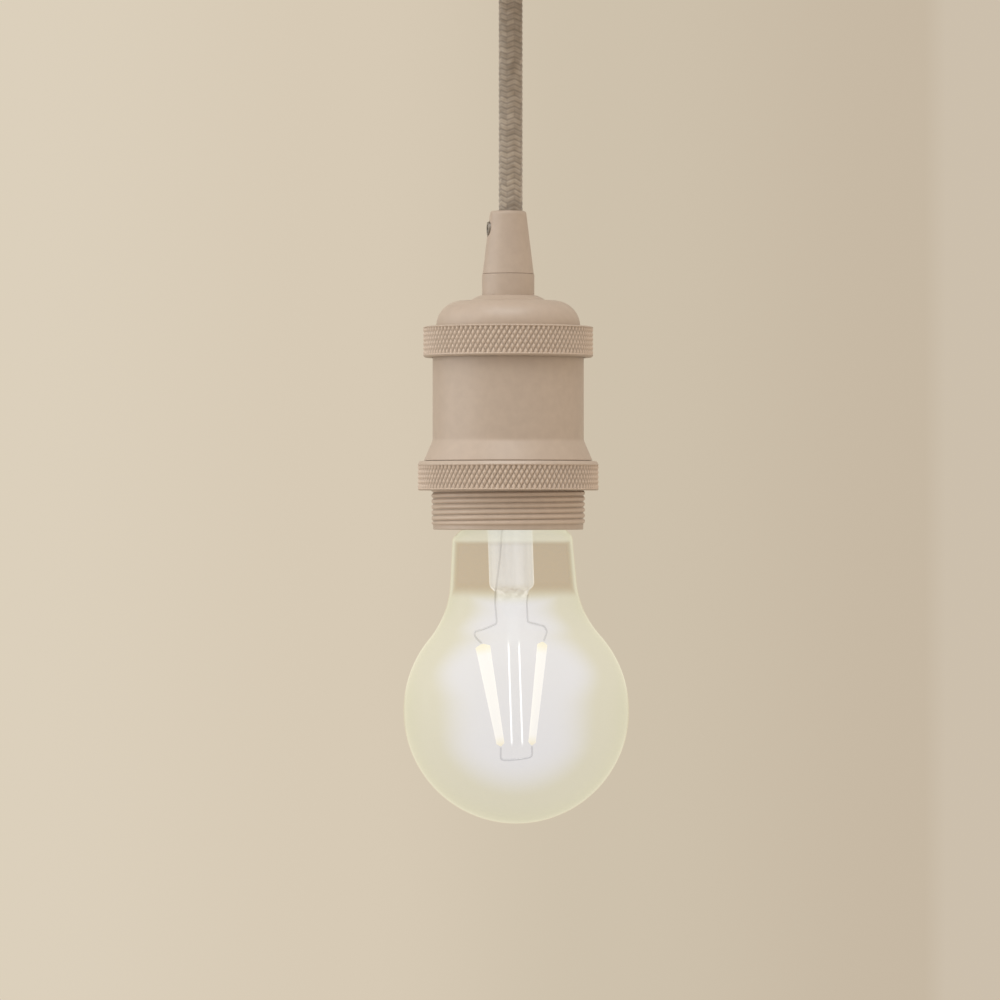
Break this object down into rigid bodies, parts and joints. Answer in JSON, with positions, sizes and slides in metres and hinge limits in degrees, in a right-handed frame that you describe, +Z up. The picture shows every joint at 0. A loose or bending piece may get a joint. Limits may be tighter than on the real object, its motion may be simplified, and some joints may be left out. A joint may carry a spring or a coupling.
{
  "type": "pendant light",
  "caption": "Pendant light: a taupe metal lamp holder with knurled rims on a braided cable under a ceiling cup, holding a lit pear-shaped filament lamp.",
  "frame": {"origin": "middle of the ceiling bracket's top face, where the light meets the ceiling", "axes": "+Z up out of the ceiling face, +X to the right and +Y away from the viewer, as the picture shows the light"},
  "size_m": [0.0842, 0.08, 0.2591],
  "materials": {
    "paint": "matt taupe powder coat",
    "textile": "grey-brown braid",
    "steel": "zinc plated",
    "dark_steel": "blackened",
    "brass": "bright",
    "nickel": "nickel plated",
    "porcelain": "white glaze",
    "glass": "clear",
    "stem_glass": "clear",
    "phosphor": "yellow phosphor, glowing",
    "black_glass": "black",
    "capacitor_sleeve": "black sleeve",
    "nylon": "white",
    "board": "green board",
    "live_insulation": "brown",
    "neutral_insulation": "blue",
    "earth_insulation": "green and yellow"
  },
  "bodies": {
    "root": {"ceiling_cup": "paint", "ceiling_grip": "paint", "grip_cone": "paint", "grip_collar": "paint", "holder_cap": "paint", "holder_barrel": "paint", "shade_ring": "paint", "cable": "textile", "ceiling_bracket": "steel", "cup_screw_left": "steel", "cup_screw_right": "steel", "insert_bracket": "steel", "insert_screw_front": "steel", "insert_screw_back": "steel", "earth_screw": "steel", "grip_screw": "dark_steel", "ceiling_grip_screw": "dark_steel", "ceiling_nipple": "brass", "ceiling_nut": "brass", "holder_nipple": "brass", "holder_nut": "brass", "live_terminal": "brass", "neutral_terminal": "brass", "live_terminal_screw": "brass", "neutral_terminal_screw": "brass", "live_rivet": "brass", "neutral_rivet": "brass", "centre_contact": "brass", "screw_shell": "brass", "ceiling_live_screw": "brass", "ceiling_neutral_screw": "brass", "ceiling_earth_screw": "brass", "earth_lug": "nickel", "lamp_cap": "nickel", "lamp_cap_contact": "nickel", "lead_wire_left": "nickel", "lead_wire_right": "nickel", "bridge_wire": "nickel", "porcelain_insert": "porcelain", "lamp_glass": "glass", "glass_stem": "stem_glass", "filament_left": "phosphor", "filament_right": "phosphor", "lamp_cap_insulator": "black_glass", "driver_capacitor": "capacitor_sleeve", "ceiling_terminal_block": "nylon", "driver_board": "board", "ceiling_live_core": "live_insulation", "holder_live_core": "live_insulation", "ceiling_neutral_core": "neutral_insulation", "holder_neutral_core": "neutral_insulation", "ceiling_earth_core": "earth_insulation", "holder_earth_core": "earth_insulation"}
  },
  "joints": []
}
